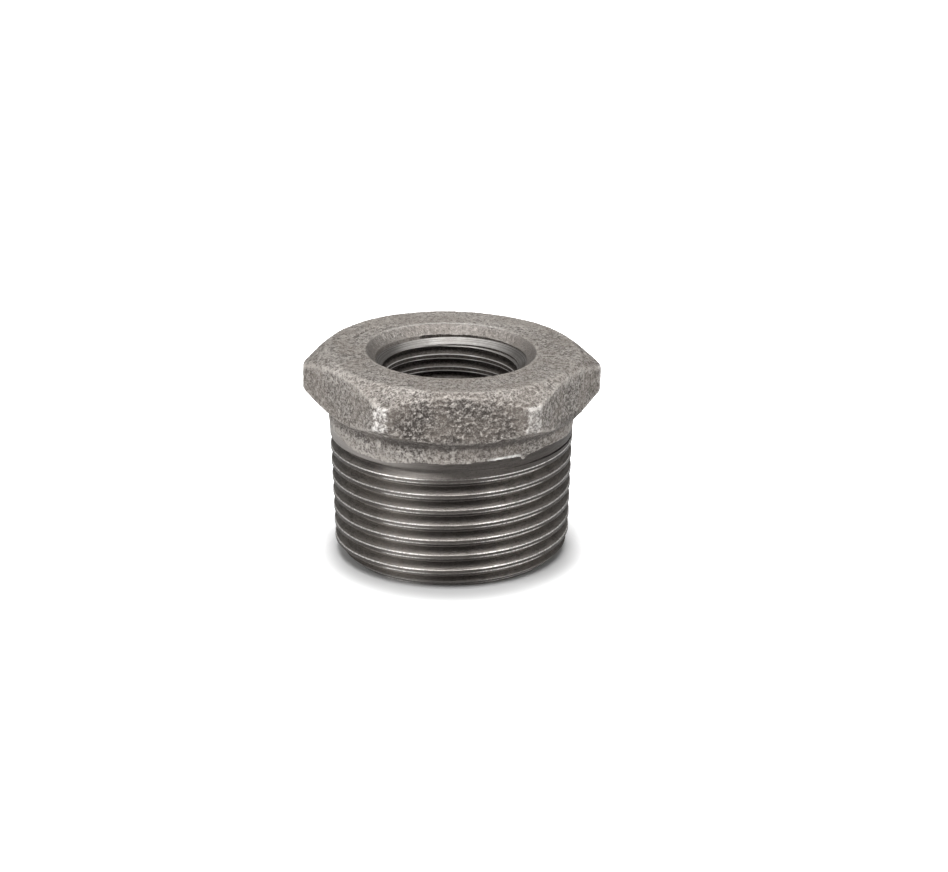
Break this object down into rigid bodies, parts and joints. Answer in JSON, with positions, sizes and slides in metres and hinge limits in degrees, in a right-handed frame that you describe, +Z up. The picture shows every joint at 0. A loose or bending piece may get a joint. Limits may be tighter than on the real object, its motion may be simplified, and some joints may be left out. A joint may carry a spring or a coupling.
{
  "type": "hex bushing",
  "caption": "Black malleable-iron pipe bushing: a hexagon head on a tapered outside pipe thread, with a smaller threaded bore through it, to reduce a pipe fitting's opening.",
  "frame": {"origin": "on the axis, at the small threaded end that the bushing stands on", "axes": "+Z up the axis towards the hexagon head, +X through a corner of the hexagon, -Y out of the flat at the front"},
  "size_m": [0.0411, 0.0362, 0.0294],
  "materials": {
    "black_iron": "black as-cast iron skin, with machined threads and a bright machined chamfer in the mouth"
  },
  "bodies": {
    "root": {"hex_bushing": "black_iron"}
  },
  "joints": []
}
